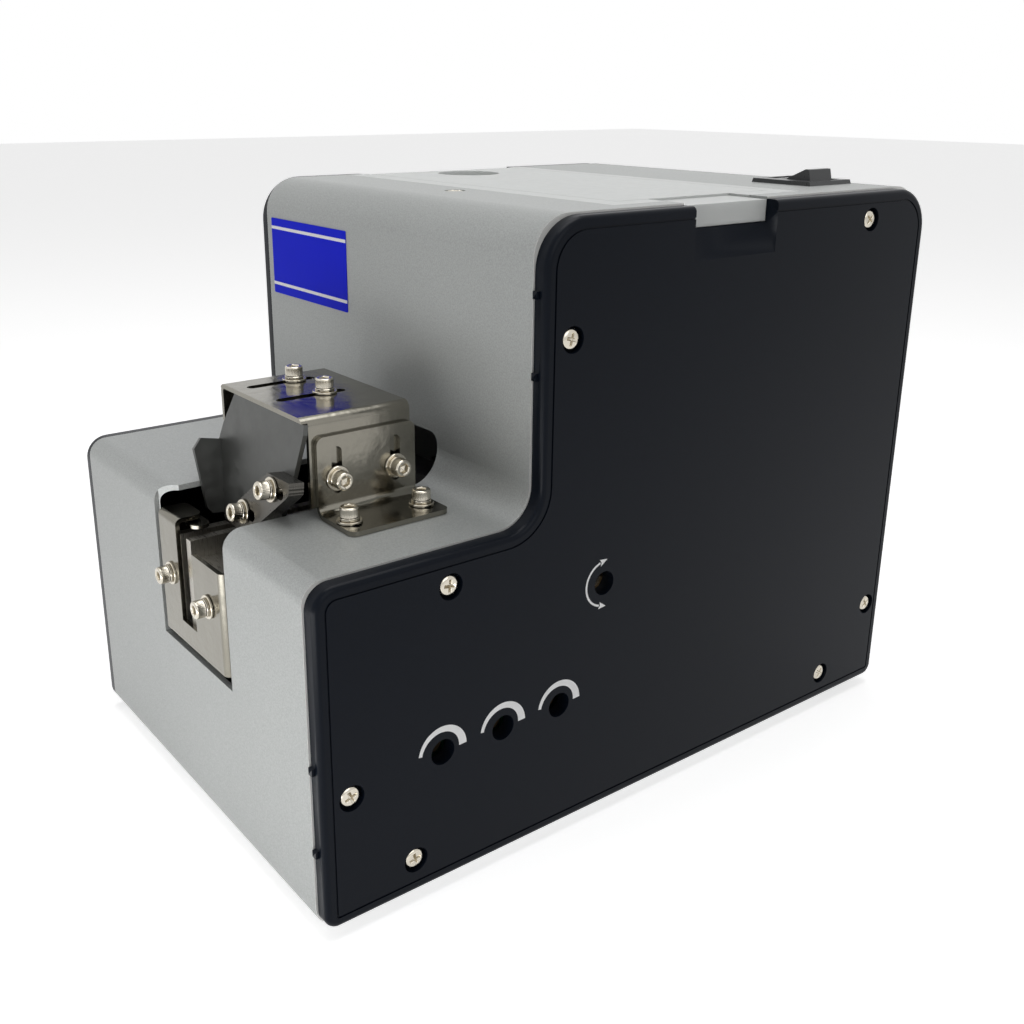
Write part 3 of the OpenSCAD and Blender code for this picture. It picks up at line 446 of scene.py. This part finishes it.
def screws(node, axis, build, turn=0.0):
    """Replaces a CAD screw node by detailed screws at the same places."""
    bm = bmesh.new()
    for k, (matrix, length) in enumerate(stations(node, axis)):
        before = set(bm.verts)
        build(bm, length)
        fresh = [v for v in bm.verts if v not in before]
        spin = Matrix.Rotation(turn + 0.9 * k, 4, "Z")
        bmesh.ops.transform(bm, verts=fresh, matrix=matrix @ Matrix.Scale(MM, 4) @ spin)
    bmesh.ops.recalc_face_normals(bm, faces=bm.faces)
    mesh = bpy.data.meshes.new(node + "_detail")
    bm.to_mesh(mesh)
    bm.free()
    shade(mesh, 32)
    slot = SLOTS[node]
    piece = new_piece(node + "_detail", mesh, BODY[node], slot)
    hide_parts(node)
    return piece


SLOTS = {row["node"]: row["material_slot"] for row in frame["record"]["subparts"]}
BODY = {node: body for body, members in frame["record"]["behaviour"]["bodies"].items() for node in members}

for cad_node, cad_object in frame["nodes"].items():
    dress(cad_object, SLOTS[cad_node])
dress(frame["nodes"]["height_bar"], "bar_steel")

screws("bracket_screws", (0, 0, 1), socket_screw)
screws("hood_screws", (1, 0, 0), socket_screw, 0.4)
screws("guide_screws", (0, 0, 1), socket_screw, 0.2)
screws("bar_screws", (0, -math.cos(LEAN), math.sin(LEAN)), socket_screw, 0.7)
screws("front_screw_left", (0, -1, 0), socket_screw, 0.3)
screws("front_screw_right", (0, -1, 0), socket_screw, 0.9)
screws("top_screw", (0, 0, 1), pan_screw, 0.3)


def panel_screws():
    """Both sides' panel screws in one piece: the head end is on the outside."""
    bm = bmesh.new()
    for sign in (-1, 1):
        for k, (matrix, length) in enumerate(stations("panel_screws", (sign, 0, 0))):
            if matrix.translation.x * sign < 0:
                continue
            before = set(bm.verts)
            pan_screw(bm, length)
            fresh = [v for v in bm.verts if v not in before]
            spin = Matrix.Rotation(0.35 + 1.1 * k, 4, "Z")
            bmesh.ops.transform(bm, verts=fresh, matrix=matrix @ Matrix.Scale(MM, 4) @ spin)
    bmesh.ops.recalc_face_normals(bm, faces=bm.faces)
    mesh = bpy.data.meshes.new("panel_screws_detail")
    bm.to_mesh(mesh)
    bm.free()
    shade(mesh, 32)
    piece = new_piece("panel_screws_detail", mesh, BODY["panel_screws"], SLOTS["panel_screws"])
    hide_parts("panel_screws")


panel_screws()


# ---- rounded edges ----

def outline_of(node, plane_x):
    """The outer outline of a side panel on one X plane, in order, without the lid's notch."""
    bm = bmesh.new()
    bm.from_mesh(frame["nodes"][node].data)
    bmesh.ops.remove_doubles(bm, verts=bm.verts, dist=2e-6)
    rim = {e for e in bm.edges if all(abs(v.co.x - plane_x) < 1e-5 for v in e.verts)
           and len(e.link_faces) == 2 and e.calc_face_angle(0) > math.radians(20)}
    low = min((v for e in rim for v in e.verts), key=lambda v: v.co.z)
    points, edge, v = [], None, low
    while True:
        points.append((v.co.y, v.co.z))
        edge = next(e for e in v.link_edges if e in rim and e is not edge)
        v = edge.other_vert(v)
        if v is low:
            break
    bm.free()
    top = max(z for y, z in points)
    return [(y, z) for y, z in points if not (top - 8 * MM < z < top - MM and -12 * MM < y < 60 * MM)]


def offset_loop(points, distance):
    """Moves a closed outline inwards along its corner normals."""
    area = sum(a[0] * b[1] - b[0] * a[1] for a, b in zip(points, points[1:] + points[:1]))
    sign = 1 if area > 0 else -1
    moved = []
    for k, p in enumerate(points):
        a, b = points[k - 1], points[(k + 1) % len(points)]
        u = Vector((p[0] - a[0], p[1] - a[1])).normalized()
        w = Vector((b[0] - p[0], b[1] - p[1])).normalized()
        n = (Vector((-u.y, u.x)) + Vector((-w.y, w.x))) * sign
        n /= max(n.length_squared / 2, 0.2)
        moved.append((p[0] + n.x * distance, p[1] + n.y * distance))
    return moved


def rounded_panel(node, sign, radius=1.4, steps=7):
    """Rounds the outer rim of a side panel with a cutter that runs along its outline."""
    outline = outline_of(node, sign * SHELL_X * MM)
    section = [(-0.4, 0.5), (radius, 0.5)]
    section += [(radius - radius * math.sin(math.pi / 2 * k / steps), -radius + radius * math.cos(math.pi / 2 * k / steps))
                for k in range(steps + 1)]
    section[-1] = (-0.02, -radius - 0.02)
    section.append((-0.4, -radius - 0.02))
    bm = bmesh.new()
    loops = []
    for inward, rise in section:
        x = sign * (HALF_W + rise) * MM
        loops.append([bm.verts.new((x, y, z)) for y, z in offset_loop(outline, inward * MM)])
    count = len(outline)
    for low, high in zip(loops, loops[1:] + loops[:1]):
        for k in range(count):
            bm.faces.new((low[k], low[(k + 1) % count], high[(k + 1) % count], high[k]))
    bmesh.ops.recalc_face_normals(bm, faces=bm.faces)
    mesh = bpy.data.meshes.new(node + "_cutter")
    bm.to_mesh(mesh)
    bm.free()
    cutter = bpy.data.objects.new(node + "_cutter", mesh)
    bpy.context.scene.collection.objects.link(cutter)
    rough = bpy.data.objects.new(node + "_rough", frame["nodes"][node].data.copy())
    bpy.context.scene.collection.objects.link(rough)
    cut = rough.modifiers.new("rim", "BOOLEAN")
    cut.operation = "DIFFERENCE"
    cut.solver = "EXACT"
    cut.object = cutter
    bpy.context.view_layer.update()
    fine = bpy.data.meshes.new_from_object(rough.evaluated_get(bpy.context.evaluated_depsgraph_get()))
    fine.name = node + "_fine"
    bpy.data.objects.remove(rough)
    bpy.data.objects.remove(cutter)
    shade(fine, 30)
    for face in fine.polygons:
        if abs(face.normal.x) > 0.999:
            face.use_smooth = False
    piece = new_piece(node + "_fine", fine, BODY[node], SLOTS[node])
    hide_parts(node)
    return piece


rounded_panel("right_side_panel", 1)
rounded_panel("left_side_panel", -1)


def soften(node, width, segments=2, degrees=40):
    """Breaks the sharp edges of a CAD node."""
    obj = frame["nodes"][node]
    shade(obj.data)
    bevel = obj.modifiers.new("edge", "BEVEL")
    bevel.width = width * MM
    bevel.segments = segments
    bevel.limit_method = "ANGLE"
    bevel.angle_limit = math.radians(degrees)
    bevel.harden_normals = False


for fine_node, fine_width in {"angle_bracket": 0.22, "hood": 0.22, "guide_plate": 0.2, "front_plate": 0.2,
                              "stop_finger": 0.2, "hopper_lid": 0.3, "switch_body": 0.4, "switch_rocker": 0.5,
                              "height_bar": 0.25, "left_rail": 0.2, "right_rail": 0.2, "sensor_block": 0.4,
                              "housing_shell": 0.15}.items():
    soften(fine_node, fine_width)


# ---- label and printed marks ----

def slab(name, points, origin, across, up, out, thick, slot, material, body="machine"):
    """A thin plate from a flat outline; points are millimetres along across and up."""
    across, up, out = Vector(across), Vector(up), Vector(out)
    bm = bmesh.new()
    base = [Vector(origin) * MM + (across * x + up * y) * MM for x, y in points]
    low = [bm.verts.new(p) for p in base]
    high = [bm.verts.new(p + out * thick * MM) for p in base]
    bm.faces.new(list(reversed(low)))
    bm.faces.new(high)
    for k in range(len(points)):
        j = (k + 1) % len(points)
        bm.faces.new((low[k], low[j], high[j], high[k]))
    bmesh.ops.recalc_face_normals(bm, faces=bm.faces)
    bmesh.ops.triangulate(bm, faces=[f for f in bm.faces if len(f.verts) > 4])
    mesh = bpy.data.meshes.new(name)
    bm.to_mesh(mesh)
    bm.free()
    return new_piece(name, mesh, body, slot, material)


def rectangle(x0, x1, y0, y1, r=0.0):
    if r == 0:
        return [(x0, y0), (x1, y0), (x1, y1), (x0, y1)]
    points = []
    for cx, cy, a0 in ((x1 - r, y0 + r, -90), (x1 - r, y1 - r, 0), (x0 + r, y1 - r, 90), (x0 + r, y0 + r, 180)):
        for k in range(7):
            a = math.radians(a0 + 15 * k)
            points.append((cx + r * math.cos(a), cy + r * math.sin(a)))
    return points


def arc_band(r_out, r_in, a0, a1, steps=40):
    """A band between two radius functions of the position along the arc (0 to 1)."""
    outer, inner = [], []
    for k in range(steps + 1):
        t = k / steps
        a = math.radians(a0 + (a1 - a0) * t)
        outer.append((r_out(t) * math.cos(a), r_out(t) * math.sin(a)))
        inner.append((r_in(t) * math.cos(a), r_in(t) * math.sin(a)))
    return outer + inner[::-1]


LABEL_Z = (124.0 + FOOT, 146.7 + FOOT)
slab("label_plate", rectangle(-61.0, -17.2, LABEL_Z[0], LABEL_Z[1], 0.4), (0, RISER_Y, 0), (1, 0, 0), (0, 0, 1),
     (0, -1, 0), 0.2, "panel_paint", "label_blue")
for label_line, label_height in (("upper", 143.45), ("lower", 126.55)):
    slab("label_line_" + label_line, rectangle(-61.0, -17.2, label_height + FOOT, label_height + 0.9 + FOOT),
         (0, RISER_Y - 0.2, 0), (1, 0, 0), (0, 0, 1), (0, -1, 0), 0.05, "frosted_plastic", "print_white")

PRINT = 0.04
TRIMMERS = [(MIDDLE_Y - 70.4, "speed"), (MIDDLE_Y - 52.4, "vibrator"), (MIDDLE_Y - 34.4, "roller")]
for trim_y, trim_name in TRIMMERS:
    band = arc_band(lambda t: 6.9, lambda t: 6.9 - 0.9 - 1.3 * t, 172, 2)
    slab("range_arc_" + trim_name, band, (HALF_W, trim_y, 35.8 + FOOT), (0, 1, 0), (0, 0, 1), (1, 0, 0), PRINT,
         "frosted_plastic", "print_white")

LOCK = (HALF_W, MIDDLE_Y - 20.3, 65.7 + FOOT)
slab("gate_arc", arc_band(lambda t: 6.3, lambda t: 5.75, 105, 255), LOCK, (0, 1, 0), (0, 0, 1), (1, 0, 0), PRINT,
     "frosted_plastic", "print_white")


def arrow_head(angle, direction):
    """A slim arrow head on the gate arc's radius, pointing along the circle."""
    a = math.radians(angle)
    centre = Vector((6.03 * math.cos(a), 6.03 * math.sin(a)))
    along = Vector((-math.sin(a), math.cos(a))) * direction
    out = Vector((math.cos(a), math.sin(a)))
    return [tuple(centre + along * 2.4), tuple(centre - out * 0.95), tuple(centre + along * 0.4), tuple(centre + out * 0.95)]


slab("gate_arrow_open", arrow_head(105, -1), LOCK, (0, 1, 0), (0, 0, 1), (1, 0, 0), PRINT, "frosted_plastic",
     "print_white")
slab("gate_arrow_close", arrow_head(255, 1), LOCK, (0, 1, 0), (0, 0, 1), (1, 0, 0), PRINT, "frosted_plastic",
     "print_white")


# ---- stage, light and camera ----

def stage():
    mesh = bpy.data.meshes.new("floor")
    mesh.from_pydata([(-4, -4, 0), (4, -4, 0), (4, 4, 0), (-4, 4, 0)], [], [(0, 1, 2, 3)])
    floor = bpy.data.objects.new("floor", mesh)
    bpy.context.scene.collection.objects.link(floor)
    s = Shader("floor_white", roughness=0.9, specular_ior_level=0.1)
    s.set("Base Color", s.mix(s.noise(3, 1.0), (0.88, 0.88, 0.88), (0.9, 0.9, 0.9)))
    path = s.add("ShaderNodeLightPath")
    seen = s.math("MAXIMUM", path.outputs["Is Camera Ray"], path.outputs["Is Glossy Ray"])
    seen = s.math("MAXIMUM", seen, path.outputs["Is Transmission Ray"])
    s.set("Emission Color", (1.0, 1.0, 1.0))
    s.set("Emission Strength", s.math("MULTIPLY", seen, 0.62))
    mesh.materials.append(s.mat)


def world():
    w = bpy.data.worlds.new("studio")
    bpy.context.scene.world = w
    w.use_nodes = True
    tree = w.node_tree
    tree.nodes.clear()
    out = tree.nodes.new("ShaderNodeOutputWorld")
    back = tree.nodes.new("ShaderNodeBackground")
    path = tree.nodes.new("ShaderNodeLightPath")
    top = tree.nodes.new("ShaderNodeMath")
    top.operation = "MAXIMUM"
    tree.links.new(path.outputs["Is Camera Ray"], top.inputs[0])
    tree.links.new(path.outputs["Is Glossy Ray"], top.inputs[1])
    also = tree.nodes.new("ShaderNodeMath")
    also.operation = "MAXIMUM"
    tree.links.new(top.outputs[0], also.inputs[0])
    tree.links.new(path.outputs["Is Transmission Ray"], also.inputs[1])
    level = tree.nodes.new("ShaderNodeMapRange")
    level.inputs["To Min"].default_value = 0.22
    level.inputs["To Max"].default_value = 1.0
    tree.links.new(also.outputs[0], level.inputs["Value"])
    tree.links.new(level.outputs[0], back.inputs["Strength"])
    back.inputs["Color"].default_value = (1, 1, 1, 1)
    tree.links.new(back.outputs[0], out.inputs["Surface"])


def lamp(name, place, target, size, power, colour=(1, 1, 1)):
    data = bpy.data.lights.new(name, "AREA")
    data.shape = "RECTANGLE"
    data.size, data.size_y = size
    data.energy = power
    data.color = colour
    obj = bpy.data.objects.new(name, data)
    obj.location = place
    obj.rotation_euler = (Vector(target) - Vector(place)).to_track_quat("-Z", "Y").to_euler()
    bpy.context.scene.collection.objects.link(obj)


def camera():
    azimuth, elevation, roll = math.radians(52.75), math.radians(18.09), math.radians(0.23)
    back = Vector((math.sin(azimuth) * math.cos(elevation), -math.cos(azimuth) * math.cos(elevation),
                   math.sin(elevation)))
    right = (-back).cross(Vector((0, 0, 1))).normalized()
    up = right.cross(-back)
    turned_right = right * math.cos(roll) + up * math.sin(roll)
    turned_up = up * math.cos(roll) - right * math.sin(roll)
    data = bpy.data.cameras.new("camera")
    data.sensor_width = 36
    data.lens = 40.12
    data.shift_x = 0.0297
    data.shift_y = -0.0494
    obj = bpy.data.objects.new("camera", data)
    matrix = Matrix((turned_right, turned_up, back)).transposed().to_4x4()
    matrix.translation = Vector((-10.02, MIDDLE_Y, 73.58 + FOOT)) * MM + back * 356.38 * MM
    obj.matrix_world = matrix
    bpy.context.scene.collection.objects.link(obj)
    bpy.context.scene.camera = obj


stage()
world()
lamp("key", (-0.5, -0.9, 1.0), (0, 0, 0.08), (0.9, 0.9), 0.8)
lamp("front", (0.06, -0.27, 0.01), (0.0, -0.1, 0.04), (0.3, 0.08), 0.42)
lamp("side", (1.1, -0.1, 0.7), (0, 0, 0.08), (0.9, 0.7), 2.5)
lamp("over", (0, 0.02, 0.75), (0, 0.0, 0.1), (0.5, 0.5), 2.4)
camera()
bpy.context.scene.view_settings.view_transform = "Standard"
